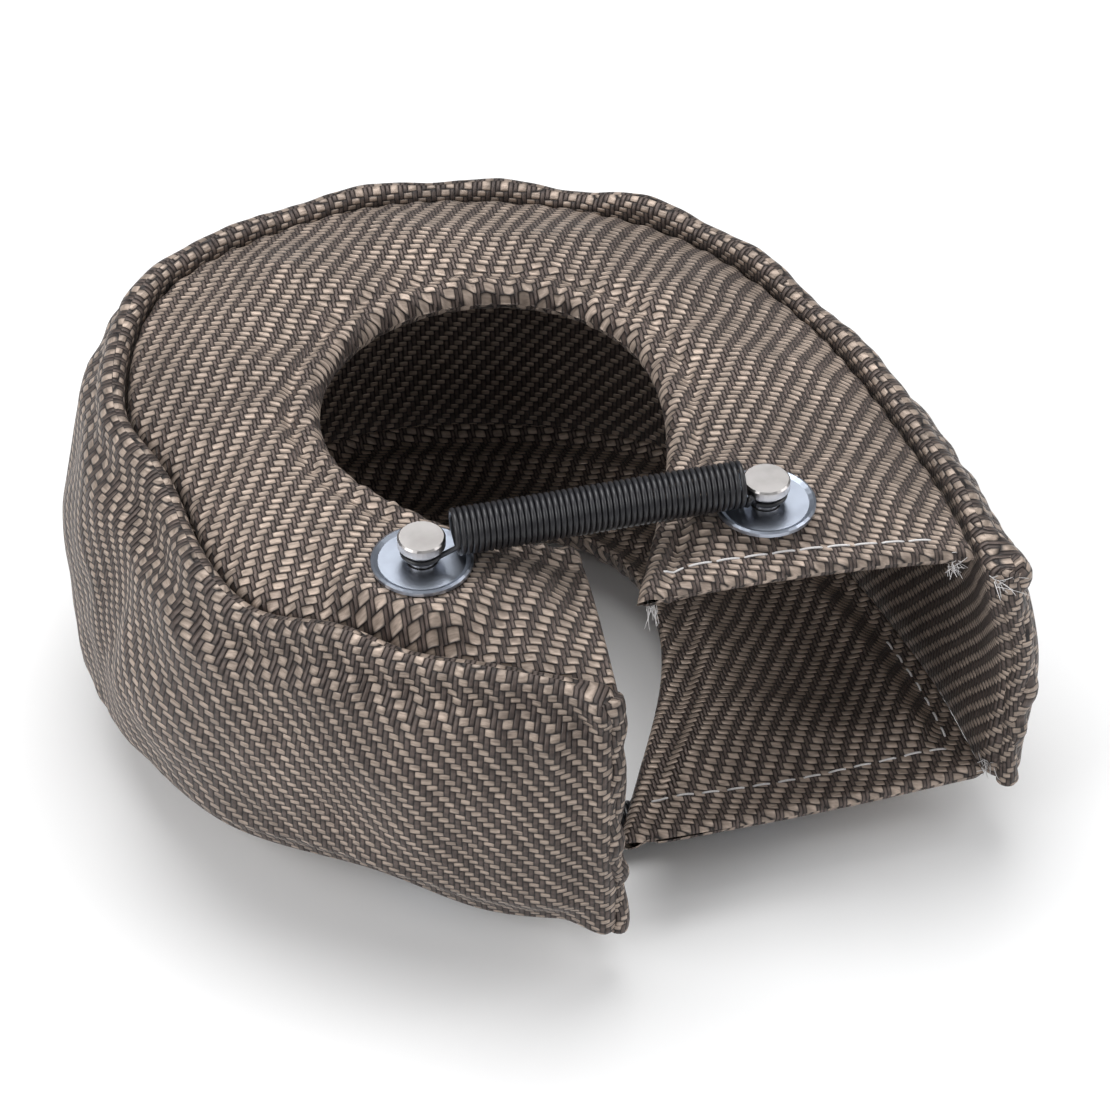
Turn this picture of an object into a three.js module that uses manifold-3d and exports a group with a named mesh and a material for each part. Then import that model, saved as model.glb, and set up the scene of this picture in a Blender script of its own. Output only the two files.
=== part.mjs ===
// Heat blanket for a turbocharger's hot side, in millimetres with +Z up
// Three padded panels are sewn into a C shaped channel round an open hole,
// and two extension springs on riveted posts pull its arms together.
import * as THREE from 'three';
import { mergeVertices } from 'three/addons/utils/BufferGeometryUtils.js';
import Module from 'manifold-3d';

const wasm = await Module();
wasm.setup();

// Plan sizes, about the hole's axis
const HOLE_RADIUS = 36;
const BODY_RADIUS = 76;
const LEFT_END_X = 6;
const LEFT_INNER_Y = -41;
const LEFT_OUTER_Y = -76;
const RIGHT_END_Y = -63;
const RIGHT_INNER_X = 14;
const BOTTOM_INNER_X = 9.5;
const RIGHT_OUTER_X = 87;
const BOTTOM_INSET = 0.6;

// Heights of the panels' faces above the surface that the blanket stands on
const TOP_HOLE_Z = 77.5;
const TOP_SEAM_Z = 74;
const TOP_ARM_DROP = 5;
const TOP_CROWN = 4.5;
const BOTTOM_HOLE_Z = 10.5;
const BOTTOM_HOLE_RISE = 1.5;
const BOTTOM_SEAM_Z = 7.5;
const BOTTOM_ARM_CROWN = 3.4;
const BOTTOM_REAR_CROWN = 12.7;

// Cloth, padding and hems
const CLOTH = 1;
const LAYER_GAP = 0.3;
const PAD_THICKNESS = 10;
const HOLE_HEM_THICKNESS = 5.4;
const SEAM_HEM_THICKNESS = 3.6;
const END_HEM_THICKNESS = 3.8;
const HEM_WIDTH = 6;
const END_HEM_WIDTH = 9;
const GATHER_DEPTH = 0.45;

// Side band
const BAND_RIDGE = 3;
const BAND_FOOT = 1.8;
const BAND_BULGE = 3.2;
const BAND_EDGE_THICKNESS = 5;
const BAND_END_THICKNESS = 9;
const SEAM_CLEARANCE = 0.4;

// Posts, washers and backing plates
const POST_NECK_RADIUS = 2.8;
const POST_HEAD_RADIUS = 4.7;
const POST_HEAD_THICKNESS = 2;
const POST_TAIL_RADIUS = 4.6;
const POST_TAIL_THICKNESS = 1.4;
const POST_NECK_LENGTH = 3.6;
const WASHER_RADIUS = 10;
const WASHER_THICKNESS = 1.1;
const WASHER_RIM_WIDTH = 1.4;
const WASHER_RIM_HEIGHT = 0.5;
const BACKING_RADIUS = 6.6;
const BACKING_THICKNESS = 1;
const BORE_CLEARANCE = 0.3;
const SEAT_GAP = 0.3;
const SEAT_MARGIN = 1.5;
const SEAT_BLEND = 9;
const SEAT_FADE = 5;

// Springs
const SPRING_RADIUS = 4.8;
const WIRE_DIAMETER = 1.1;
const COIL_PITCH = 1.17;
const HOOK_REACH_LEFT = 6.3;
const HOOK_REACH_RIGHT = 4.6;
const SPRING_LIFT = 0.4;
const WIRE_SIDES = 3;
const STEPS_PER_TURN = 7;

// Fineness of the cloth and of the turned pieces
const STATIONS = 48;
const TURNED_SIDES = 32;
const BORE_SIDES = 16;

// Colours, from the photograph
const TWILL = { color: 0x6d6057, roughness: 0.85, metalness: 0 };
const PADDING = { color: 0xe9e6df, roughness: 1, metalness: 0 };
const STEEL = { color: 0xc4c6cc, roughness: 0.3, metalness: 1 };
const ZINC = { color: 0xa9b0bd, roughness: 0.35, metalness: 1 };
const BLACK_WIRE = { color: 0x18181b, roughness: 0.4, metalness: 0.6 };

const vec = (x, y, z) => new THREE.Vector3(x, y, z);
const smooth = (value) => THREE.MathUtils.smoothstep(value, 0, 1);
const mix = THREE.MathUtils.lerp;

// A plan point at an angle in degrees from +X and a distance from the hole's axis
function polar(degrees, distance, z) {
  const angle = THREE.MathUtils.degToRad(degrees);
  return vec(distance * Math.cos(angle), distance * Math.sin(angle), z);
}

// Plan of the hole's edge, from the left arm round the back to the right arm
const HOLE_PLAN = [
  [-108, HOLE_RADIUS + 2],
  [-135, HOLE_RADIUS],
  [-160, HOLE_RADIUS],
  [-185, HOLE_RADIUS],
  [-211, HOLE_RADIUS],
  [-239, HOLE_RADIUS],
  [-267, HOLE_RADIUS],
  [-295, HOLE_RADIUS],
  [-323, HOLE_RADIUS - 1],
  [-355, HOLE_RADIUS - 2],
  [-399, HOLE_RADIUS + 2],
];
const curveThrough = (points) => new THREE.CatmullRomCurve3(points, false, 'catmullrom');

// Hole edges of both panels. The top one's height sags towards its ends.
const HOLE_SAG = [2, 0, 0, 0, 0, 0, 0, 0, 0, 0.5, 1.5];
const topHole = curveThrough([
  vec(LEFT_END_X + 1, LEFT_INNER_Y, TOP_HOLE_Z - TOP_ARM_DROP + 0.5),
  ...HOLE_PLAN.map(([degrees, radius], i) => polar(degrees, radius, TOP_HOLE_Z - HOLE_SAG[i])),
  vec(RIGHT_INNER_X, RIGHT_END_Y + 3, TOP_HOLE_Z - 3.5),
]);
const bottomHole = curveThrough([
  vec(LEFT_END_X - 2, LEFT_INNER_Y - 2, BOTTOM_HOLE_Z + BOTTOM_HOLE_RISE),
  ...HOLE_PLAN.map(([degrees, radius]) => polar(degrees, radius, BOTTOM_HOLE_Z)),
  vec(BOTTOM_INNER_X, RIGHT_END_Y - 3, BOTTOM_HOLE_Z - 0.5),
]);

// Upper and lower edges of the side band, paired with the hole's points. The
// top panel ends short of the band on the right arm.
const SEAM_POINTS = [
  vec(LEFT_END_X + 0.5, LEFT_OUTER_Y, TOP_SEAM_Z - TOP_ARM_DROP - 3.5),
  polar(-103.5, BODY_RADIUS - 7, TOP_SEAM_Z - TOP_ARM_DROP - 1),
  polar(-123, BODY_RADIUS - 10, TOP_SEAM_Z - TOP_ARM_DROP - 0.5),
  polar(-151, BODY_RADIUS - 7, TOP_SEAM_Z - TOP_ARM_DROP - 0.5),
  polar(-177, BODY_RADIUS - 10, TOP_SEAM_Z - 4.5),
  polar(-199, BODY_RADIUS + 0.5, TOP_SEAM_Z - 2.5),
  polar(-225, BODY_RADIUS + 7, TOP_SEAM_Z - 0.5),
  polar(-255, BODY_RADIUS + 1.5, TOP_SEAM_Z + 0.5),
  polar(-284, BODY_RADIUS - 3, TOP_SEAM_Z + 0.5),
  polar(-315, BODY_RADIUS - 3.5, TOP_SEAM_Z - 0.5),
  polar(-349, BODY_RADIUS - 2.5, TOP_SEAM_Z - 1.5),
  vec(RIGHT_OUTER_X - 5, RIGHT_END_Y / 2, TOP_SEAM_Z - 3.5),
  vec(RIGHT_OUTER_X - 3, RIGHT_END_Y - 3, TOP_SEAM_Z - 7.5),
];
const seamEdge = curveThrough(SEAM_POINTS);
const topRim = curveThrough([
  ...SEAM_POINTS.slice(0, -1),
  vec(RIGHT_OUTER_X - 4, RIGHT_END_Y + 3, TOP_SEAM_Z - 2.5),
]);
const footEdge = curveThrough([
  vec(LEFT_END_X + 1, LEFT_OUTER_Y - 3, BOTTOM_SEAM_Z + 2.5),
  polar(-103.5, BODY_RADIUS - 4, BOTTOM_SEAM_Z + 2),
  polar(-123, BODY_RADIUS - 8, BOTTOM_SEAM_Z + 5.5),
  polar(-151, BODY_RADIUS - 3.5, BOTTOM_SEAM_Z + 3),
  polar(-177, BODY_RADIUS + 1.5, BOTTOM_SEAM_Z + 0.5),
  polar(-199, BODY_RADIUS + 5, BOTTOM_SEAM_Z),
  polar(-225, BODY_RADIUS + 7, BOTTOM_SEAM_Z),
  polar(-255, BODY_RADIUS + 3, BOTTOM_SEAM_Z),
  polar(-284, BODY_RADIUS - 1, BOTTOM_SEAM_Z),
  polar(-315, BODY_RADIUS - 0.5, BOTTOM_SEAM_Z + 1),
  polar(-349, BODY_RADIUS + 0.5, BOTTOM_SEAM_Z + 3),
  vec(RIGHT_OUTER_X - 2, RIGHT_END_Y / 2, BOTTOM_SEAM_Z + 5.5),
  vec(RIGHT_OUTER_X + 1, RIGHT_END_Y - 3, BOTTOM_SEAM_Z + 5),
]);

// Broad soft folds of the cloth: where along the blanket, how wide, how deep
const TOP_FOLDS = [
  { at: 0.2, width: 0.022, depth: 1.1 },
  { at: 0.33, width: 0.02, depth: -0.8 },
  { at: 0.52, width: 0.018, depth: 1.2 },
  { at: 0.66, width: 0.022, depth: -0.9 },
  { at: 0.78, width: 0.02, depth: 1 },
];
const BAND_FOLDS = [
  { at: 0.13, width: 0.02, depth: 1.1 },
  { at: 0.3, width: 0.016, depth: 1.6 },
  { at: 0.47, width: 0.02, depth: -1.2 },
  { at: 0.62, width: 0.02, depth: 1.3 },
  { at: 0.83, width: 0.018, depth: -1.1 },
];

function foldDepth(folds, along) {
  const bump = ({ at, width, depth }) => depth * Math.exp(-(((along - at) / width) ** 2));
  return folds.reduce((total, fold) => total + bump(fold), 0);
}

// Share of the full padding at a place, nothing at a hem and one in the field
function padShare(distanceToHem, hemWidth) {
  return smooth((distanceToHem - hemWidth * 0.3) / (hemWidth * 1.6));
}

// Length along the blanket, measured on the seam
const seamLength = seamEdge.getLength();

function endShare(along) {
  const distance = Math.min(along, 1 - along) * seamLength;
  return padShare(distance, END_HEM_WIDTH);
}

// Nothing at the back of the blanket and one at the ends of its arms
const armShare = (along) => (2 * along - 1) ** 2;

// Gathers of the hole's hem: every second station stands proud
function gather(along, distanceToHole) {
  const phase = Math.round(along * STATIONS) % 2 === 0 ? 1 : -1;
  const fade = Math.max(0, 1 - distanceToHole / (2 * HEM_WIDTH));
  return GATHER_DEPTH * phase * fade;
}

// Outward level direction across the seam
function outward(along) {
  const tangent = seamEdge.getTangent(along);
  return vec(tangent.y, -tangent.x, 0).normalize().negate();
}

// Outer face of the top panel and of the bottom panel, and the panel's
// thickness, at a place along the blanket and a share of the way to the seam
function panelPlace(along, across, isTop) {
  const inner = (isTop ? topHole : bottomHole).getPoint(along);
  const outer = (isTop ? topRim : footEdge).getPoint(along);
  outer.addScaledVector(outward(along), isTop ? 0 : -BOTTOM_INSET);
  const width = Math.hypot(outer.x - inner.x, outer.y - inner.y);
  const toHole = across * width;
  const toSeam = (1 - across) * width;
  const share = padShare(toHole, HEM_WIDTH) * padShare(toSeam, HEM_WIDTH) * endShare(along);
  const hem = mix(HOLE_HEM_THICKNESS, SEAM_HEM_THICKNESS, smooth(across * 3));
  const endHem = mix(END_HEM_THICKNESS, hem, endShare(along));
  const thickness = mix(endHem, PAD_THICKNESS, share);
  const arch = Math.sin(Math.PI * across) ** 0.8 * mix(0.45, 1, endShare(along));
  const place = inner.lerp(outer, across);
  if (isTop) {
    place.z += TOP_CROWN * arch + foldDepth(TOP_FOLDS, along) * arch + gather(along, toHole);
  } else {
    place.z -= mix(BOTTOM_REAR_CROWN, BOTTOM_ARM_CROWN, armShare(along)) * arch;
    place.z -= gather(along, toHole);
  }
  const hemFade = smooth(toHole / SEAT_FADE) * smooth(toSeam / SEAT_FADE);
  return { place, thickness, share, seatFade: hemFade * endShare(along) };
}

// Flattens a panel's outer face to a seat round each of its posts
function seated(data, posts) {
  for (const post of posts) {
    const distance = Math.hypot(data.place.x - post.x, data.place.y - post.y);
    const reach = (distance - WASHER_RADIUS - SEAT_MARGIN) / SEAT_BLEND;
    const onSeat = data.seatFade * (1 - smooth(reach));
    data.place.z = mix(data.place.z, post.seat, onSeat);
  }
  return data;
}

// Inner face of the side band and its thickness, from its top edge to its foot
function bandPlace(along, across) {
  const upper = seamEdge.getPoint(along);
  const direction = outward(along);
  const foot = footEdge.getPoint(along);
  foot.z -= BAND_FOOT;
  upper.z += BAND_RIDGE;
  const height = upper.z - foot.z;
  const toEdge = Math.min(across, 1 - across) * height;
  const share = padShare(toEdge, HEM_WIDTH) * endShare(along);
  const edge = mix(BAND_END_THICKNESS, BAND_EDGE_THICKNESS, endShare(along));
  const thickness = mix(edge, PAD_THICKNESS, share);
  const bow = Math.sin(Math.PI * across);
  const bulge = (BAND_BULGE + foldDepth(BAND_FOLDS, along)) * bow * bow;
  const place = upper.lerp(foot, across).addScaledVector(direction, SEAM_CLEARANCE + bulge);
  return { place, thickness, share, direction };
}

// Depth below the outer face at which each layer of a padded panel starts and
// ends. Hems are cloth folded to fill the whole thickness.
function layerDepths(layer, thickness, share) {
  const folded = (thickness - LAYER_GAP) / 2;
  const cloth = mix(folded, CLOTH, smooth(share * 2.5));
  if (layer === 'outer') return [0, cloth];
  if (layer === 'inner') return [thickness - cloth, thickness];
  return [cloth + LAYER_GAP, thickness - cloth - LAYER_GAP];
}

// Shares of the way across a panel, and stations along it. The padding stops
// short of the hems.
const CLOTH_COLUMNS = [0, 0.08, 0.2, 0.5, 0.8, 0.93, 1];
const PADDING_COLUMNS = CLOTH_COLUMNS.slice(2, -2);
const ALL_STATIONS = Array.from({ length: STATIONS + 1 }, (_, i) => i / STATIONS);
const PADDING_STATIONS = ALL_STATIONS.slice(2, -2);

// A closed sheet of two faces and its rim, on a grid of stations and columns.
// Both faces split their cells along the same diagonal, so layers stay apart.
function sheetGeometry(stations, columns, facePoint) {
  const rows = stations.length;
  const width = columns.length;
  const points = [];
  for (const isUpper of [false, true]) {
    for (const along of stations) {
      for (const across of columns) points.push(facePoint(along, across, isUpper));
    }
  }
  const at = (side, row, column) => (side * rows + row) * width + column;
  const index = [];
  const quad = (a, b, c, d) => index.push(a, b, c, a, c, d);
  for (let i = 0; i < rows - 1; i += 1) {
    for (let j = 0; j < width - 1; j += 1) {
      index.push(at(1, i, j), at(1, i + 1, j), at(1, i + 1, j + 1));
      index.push(at(1, i, j), at(1, i + 1, j + 1), at(1, i, j + 1));
      index.push(at(0, i, j), at(0, i + 1, j + 1), at(0, i + 1, j));
      index.push(at(0, i, j), at(0, i, j + 1), at(0, i + 1, j + 1));
    }
    const last = width - 1;
    quad(at(0, i, 0), at(0, i + 1, 0), at(1, i + 1, 0), at(1, i, 0));
    quad(at(0, i + 1, last), at(0, i, last), at(1, i, last), at(1, i + 1, last));
  }
  for (let j = 0; j < width - 1; j += 1) {
    const last = rows - 1;
    quad(at(0, 0, j + 1), at(0, 0, j), at(1, 0, j), at(1, 0, j + 1));
    quad(at(0, last, j), at(0, last, j + 1), at(1, last, j + 1), at(1, last, j));
  }
  const geometry = new THREE.BufferGeometry().setFromPoints(points);
  geometry.setIndex(index);
  geometry.computeVertexNormals();
  return geometry;
}

function layerColumns(layer) {
  return layer === 'padding' ? PADDING_COLUMNS : CLOTH_COLUMNS;
}

function layerStations(layer) {
  return layer === 'padding' ? PADDING_STATIONS : ALL_STATIONS;
}

function panelGeometry(layer, isTop, posts) {
  return sheetGeometry(layerStations(layer), layerColumns(layer), (along, across, isUpper) => {
    const { place, thickness, share } = seated(panelPlace(along, across, isTop), posts);
    const [near, far] = layerDepths(layer, thickness, share);
    if (isTop) place.z -= isUpper ? near : far;
    else place.z += isUpper ? far : near;
    return place;
  });
}

function bandGeometry(layer) {
  return sheetGeometry(layerStations(layer), layerColumns(layer), (along, across, isOuter) => {
    const { place, thickness, share, direction } = bandPlace(along, across);
    const [near, far] = layerDepths(layer, thickness, share);
    return place.addScaledVector(direction, thickness - (isOuter ? near : far));
  });
}

// Closed meshes as solids, for cutting
function toSolid(geometry) {
  const bare = geometry.clone();
  bare.deleteAttribute('normal');
  bare.deleteAttribute('uv');
  const merged = mergeVertices(bare);
  return new wasm.Manifold(new wasm.Mesh({
    numProp: 3,
    vertProperties: new Float32Array(merged.attributes.position.array),
    triVerts: new Uint32Array(merged.index.array),
  }));
}

function toGeometry(solid) {
  const mesh = solid.getMesh();
  const geometry = new THREE.BufferGeometry();
  geometry.setAttribute('position', new THREE.BufferAttribute(mesh.vertProperties, 3));
  geometry.setIndex(new THREE.BufferAttribute(mesh.triVerts, 1));
  geometry.computeVertexNormals();
  return geometry;
}

// An upright disc between two heights
function discGeometry(radius, low, high, x, y, sides) {
  const disc = new THREE.CylinderGeometry(radius, radius, high - low, sides);
  disc.rotateX(Math.PI / 2);
  disc.translate(x, y, (low + high) / 2);
  return disc;
}

// Posts: plan place and the height of the flat seat for the washer
const postAt = (name, x, y, seat, up) => ({ name, x, y, seat, up });
const TOP_SEAT_Z = 78.2;
const BOTTOM_SEAT_Z = 7.6;
const topPosts = [
  postAt('top_left', -25, -44.8, TOP_SEAT_Z, 1),
  postAt('top_right', 44, -44.8, TOP_SEAT_Z + 0.6, 1),
];
const bottomPosts = [
  postAt('bottom_left', -24, -52, BOTTOM_SEAT_Z, -1),
  postAt('bottom_right', 44, -49, BOTTOM_SEAT_Z, -1),
];
const washerBottom = (post) => post.seat + post.up * SEAT_GAP;
const washerTop = (post) => washerBottom(post) + post.up * WASHER_THICKNESS;

// The backing plate and the post's riveted tail lie under the outer cloth
const BACKING_DEPTH = CLOTH + SEAT_GAP + BACKING_THICKNESS;
const TAIL_DEPTH = BACKING_DEPTH + SEAT_GAP;
const backingBottom = (post) => post.seat - post.up * BACKING_DEPTH;

// A disc shaped cut from a post's seat level outwards or inwards
function seatCut(post, radius, sides, from, to) {
  const ends = [post.seat + post.up * from, post.seat + post.up * to].sort((a, b) => a - b);
  return toSolid(discGeometry(radius, ends[0], ends[1], post.x, post.y, sides));
}

// Flat seats for the washer and the backing plate, and room for the post's neck
function cutForPost(solid, post, layer) {
  const far = 40;
  const bore = POST_NECK_RADIUS + BORE_CLEARANCE;
  const seat = solid.subtract(seatCut(post, WASHER_RADIUS + SEAT_GAP, TURNED_SIDES, 0, far));
  if (layer === 'inner') return seat;
  if (layer === 'padding') {
    const pocket = TAIL_DEPTH + POST_TAIL_THICKNESS + SEAT_GAP;
    const radius = BACKING_RADIUS + SEAT_GAP;
    return seat.subtract(seatCut(post, radius, TURNED_SIDES, -pocket, far));
  }
  const underside = seatCut(post, BACKING_RADIUS + SEAT_GAP, TURNED_SIDES, -CLOTH, -far);
  return seat.subtract(seatCut(post, bore, BORE_SIDES, -far, far)).subtract(underside);
}

function turned(profile, sides) {
  const lathe = new THREE.LatheGeometry(profile.map(([r, z]) => new THREE.Vector2(r, z)), sides);
  lathe.rotateX(Math.PI / 2);
  return lathe;
}

// A riveted post: tail under the outer cloth, neck through it and a flat head
function postGeometry() {
  const neckTop = SEAT_GAP + WASHER_THICKNESS + POST_NECK_LENGTH;
  const chamfer = 0.35;
  const head = neckTop + POST_HEAD_THICKNESS;
  return turned([
    [0, -TAIL_DEPTH - POST_TAIL_THICKNESS],
    [POST_TAIL_RADIUS - 0.6, -TAIL_DEPTH - POST_TAIL_THICKNESS],
    [POST_TAIL_RADIUS, -TAIL_DEPTH],
    [POST_NECK_RADIUS, -TAIL_DEPTH],
    [POST_NECK_RADIUS, neckTop],
    [POST_HEAD_RADIUS, neckTop],
    [POST_HEAD_RADIUS, head - chamfer],
    [POST_HEAD_RADIUS - chamfer, head],
    [0, head],
  ], TURNED_SIDES);
}

// A pressed washer with a raised rim
function washerGeometry() {
  const bore = POST_NECK_RADIUS + BORE_CLEARANCE;
  const rim = WASHER_RADIUS - WASHER_RIM_WIDTH;
  return turned([
    [bore, 0],
    [WASHER_RADIUS, 0],
    [WASHER_RADIUS, WASHER_THICKNESS - 0.3],
    [WASHER_RADIUS - 0.5, WASHER_THICKNESS],
    [rim, WASHER_THICKNESS - WASHER_RIM_HEIGHT],
    [bore, WASHER_THICKNESS - WASHER_RIM_HEIGHT],
    [bore, 0],
  ], TURNED_SIDES);
}

function backingGeometry() {
  const bore = POST_NECK_RADIUS + BORE_CLEARANCE;
  return turned([
    [bore, 0],
    [BACKING_RADIUS, 0],
    [BACKING_RADIUS, BACKING_THICKNESS],
    [bore, BACKING_THICKNESS],
    [bore, 0],
  ], TURNED_SIDES);
}

// The wire of an extension spring: a loop round the left post's neck, the
// close turns, and a loop round the right post's neck
class SpringWire extends THREE.Curve {
  constructor(left, right) {
    super();
    const lift = WIRE_DIAMETER / 2 + SPRING_LIFT;
    const height = (post) => washerTop(post) + post.up * (POST_NECK_LENGTH / 2);
    const axisHeight = (post) => washerTop(post) + post.up * (SPRING_RADIUS + SPRING_LIFT);
    const from = vec(left.x, left.y, axisHeight(left));
    const to = vec(right.x, right.y, axisHeight(right));
    const axis = to.clone().sub(from);
    const span = axis.length();
    axis.normalize();
    const level = vec(axis.x, axis.y, 0).normalize();
    const side = vec(-level.y, level.x, 0);
    const upright = axis.clone().cross(side);
    const coilRadius = SPRING_RADIUS - WIRE_DIAMETER / 2;
    const loopRadius = POST_NECK_RADIUS + lift;
    const coilLength = span - HOOK_REACH_LEFT - HOOK_REACH_RIGHT;
    this.turns = Math.round(coilLength / COIL_PITCH);
    const points = [];
    const loopPoint = (post, degrees) => {
      const angle = THREE.MathUtils.degToRad(degrees);
      const point = vec(post.x, post.y, height(post));
      point.addScaledVector(level, loopRadius * Math.cos(angle));
      return point.addScaledVector(side, loopRadius * Math.sin(angle));
    };
    for (let degrees = 20; degrees <= 320; degrees += 30) points.push(loopPoint(left, degrees));
    const steps = this.turns * STEPS_PER_TURN;
    for (let i = 0; i <= steps; i += 1) {
      const angle = (2 * Math.PI * i) / STEPS_PER_TURN - Math.PI / 2;
      const point = from.clone();
      point.addScaledVector(axis, HOOK_REACH_LEFT + (coilLength * i) / steps);
      point.addScaledVector(side, coilRadius * Math.sin(angle));
      point.addScaledVector(upright, coilRadius * Math.cos(angle));
      points.push(point);
    }
    for (let degrees = 220; degrees <= 500; degrees += 30) points.push(loopPoint(right, degrees));
    this.points = points;
    this.path = new THREE.CatmullRomCurve3(points, false, 'centripetal');
  }

  getPoint(t, target = vec(0, 0, 0)) {
    return this.path.getPoint(t, target);
  }
}

function springGeometry(left, right) {
  const wire = new SpringWire(left, right);
  const section = new THREE.Shape();
  for (let i = 0; i < WIRE_SIDES; i += 1) {
    const angle = (2 * Math.PI * (i + 0.5)) / WIRE_SIDES;
    const x = (WIRE_DIAMETER / 2) * Math.cos(angle);
    const y = (WIRE_DIAMETER / 2) * Math.sin(angle);
    if (i === 0) section.moveTo(x, y);
    else section.lineTo(x, y);
  }
  section.closePath();
  const steps = wire.points.length - 1;
  wire.arcLengthDivisions = steps * 4;
  return new THREE.ExtrudeGeometry(section, { steps, bevelEnabled: false, extrudePath: wire });
}

const blanket = new THREE.Group();
const model = new THREE.Group();
model.add(blanket);

function addMesh(name, geometry, look) {
  const mesh = new THREE.Mesh(geometry, new THREE.MeshStandardMaterial(look));
  mesh.name = name;
  blanket.add(mesh);
  return mesh;
}

// Padded panels, each of two cloths with a mat of insulation between them
for (const [panel, isTop, posts] of [['top', true, topPosts], ['bottom', false, bottomPosts]]) {
  for (const layer of ['outer', 'padding', 'inner']) {
    const whole = toSolid(panelGeometry(layer, isTop, posts));
    const cut = posts.reduce((solid, post) => cutForPost(solid, post, layer), whole);
    const name = layer === 'padding' ? `${panel}_insulation` : `${panel}_${layer}_cloth`;
    addMesh(name, toGeometry(cut), layer === 'padding' ? PADDING : TWILL);
  }
}
addMesh('band_outer_cloth', bandGeometry('outer'), TWILL);
addMesh('band_insulation', bandGeometry('padding'), PADDING);
addMesh('band_inner_cloth', bandGeometry('inner'), TWILL);

// Posts with their washers and backing plates
for (const post of [...topPosts, ...bottomPosts]) {
  const flip = post.up > 0 ? 0 : Math.PI;
  const rivet = addMesh(`${post.name}_post`, postGeometry(), STEEL);
  rivet.position.set(post.x, post.y, post.seat);
  rivet.rotation.x = flip;
  const washer = addMesh(`${post.name}_washer`, washerGeometry(), ZINC);
  washer.position.set(post.x, post.y, washerBottom(post));
  washer.rotation.x = flip;
  const backing = addMesh(`${post.name}_backing_plate`, backingGeometry(), ZINC);
  backing.position.set(post.x, post.y, backingBottom(post));
  backing.rotation.x = flip;
}

addMesh('top_spring', springGeometry(topPosts[0], topPosts[1]), BLACK_WIRE);
addMesh('bottom_spring', springGeometry(bottomPosts[0], bottomPosts[1]), BLACK_WIRE);

// The origin is under the middle of the whole, on the surface it stands on
const bounds = new THREE.Box3().setFromObject(blanket);
const middle = bounds.getCenter(vec(0, 0, 0));
blanket.position.set(-middle.x, -middle.y, -bounds.min.z);

export default model;
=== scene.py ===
# Heat blanket: padded twill panels, posts, washers and springs, dressed for rendering
import math

import bmesh
import bpy
import numpy as np
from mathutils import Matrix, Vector


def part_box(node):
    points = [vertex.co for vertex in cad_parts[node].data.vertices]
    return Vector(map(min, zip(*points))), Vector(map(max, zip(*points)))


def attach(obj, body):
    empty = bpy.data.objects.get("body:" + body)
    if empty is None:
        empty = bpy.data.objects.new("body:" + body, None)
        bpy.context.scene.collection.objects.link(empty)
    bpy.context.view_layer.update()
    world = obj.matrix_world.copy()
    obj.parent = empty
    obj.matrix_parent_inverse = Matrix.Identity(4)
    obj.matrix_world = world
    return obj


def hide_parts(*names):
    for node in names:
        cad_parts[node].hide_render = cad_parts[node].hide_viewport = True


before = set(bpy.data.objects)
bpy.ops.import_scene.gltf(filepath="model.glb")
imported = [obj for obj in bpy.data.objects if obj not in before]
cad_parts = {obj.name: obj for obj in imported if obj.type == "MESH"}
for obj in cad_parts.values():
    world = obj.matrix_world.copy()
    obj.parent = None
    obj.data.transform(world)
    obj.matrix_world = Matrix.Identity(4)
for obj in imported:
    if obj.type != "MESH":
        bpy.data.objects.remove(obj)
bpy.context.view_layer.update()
scene = bpy.context.scene
MM = 0.001

# Plan sizes of the blanket about its hole's axis, in millimetres
HOLE_RADIUS = 36.0
BODY_RADIUS = 76.0
LEFT_END_X = 6.0
LEFT_INNER_Y = -41.0
LEFT_OUTER_Y = -76.0
RIGHT_END_Y = -63.0
RIGHT_INNER_X = 14.0
BOTTOM_INNER_X = 9.5
RIGHT_OUTER_X = 87.0
BOTTOM_INSET = 0.6

# Heights of the faces
TOP_HOLE_Z = 77.5
TOP_SEAM_Z = 74.0
TOP_ARM_DROP = 5.0
TOP_CROWN = 4.5
BOTTOM_HOLE_Z = 10.5
BOTTOM_HOLE_RISE = 1.5
BOTTOM_SEAM_Z = 7.5
BOTTOM_ARM_CROWN = 3.4
BOTTOM_REAR_CROWN = 12.7

# Padding and hems
PAD_THICKNESS = 10.0
HOLE_HEM = 5.4
SEAM_HEM = 3.6
END_HEM = 3.8
HEM_WIDTH = 6.0
END_HEM_WIDTH = 9.0
BAND_RIDGE = 3.0
BAND_FOOT = 1.8
BAND_BULGE = 3.2
BAND_EDGE = 5.0
BAND_END = 9.0
SEAM_CLEARANCE = 0.4

# Posts in plan, and the seats of their washers
TOP_POSTS = {"top_left": (-25.0, -44.8, 78.2), "top_right": (44.0, -44.8, 78.8)}
BOTTOM_POSTS = {"bottom_left": (-24.0, -52.0, 7.6), "bottom_right": (44.0, -49.0, 7.6)}
WASHER_RADIUS = 10.0
SEAT_MARGIN = 1.5
SEAT_BLEND = 9.0
SEAT_FADE = 5.0

# The blanket's plan frame in the row's frame, found from one post
low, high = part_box("top_left_post")
POST_TOP_Z = 85.2
ORIGIN = np.array([
    (low[0] + high[0]) / 2 / MM - TOP_POSTS["top_left"][0],
    (low[1] + high[1]) / 2 / MM - TOP_POSTS["top_left"][1],
    high[2] / MM - POST_TOP_Z,
])

# Fineness of the modelled cloth
STATIONS = 400
FIELD_COLUMNS = 54
ROUND_COLUMNS = 7
END_ROWS = 9
CURVE_SAMPLES = 1200

# Camera at the photograph's viewing angle, with its focal length fitted in pixels
CAMERA_AZIMUTH = -13.7
CAMERA_ELEVATION = 42.0
CAMERA_DISTANCE = 750.0
CAMERA_TARGET = (10.95, -5.76, 38.5)
FOCAL_PIXELS = 3562.5
PHOTO_PIXELS = 1110
SENSOR_WIDTH = 36.0


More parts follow.
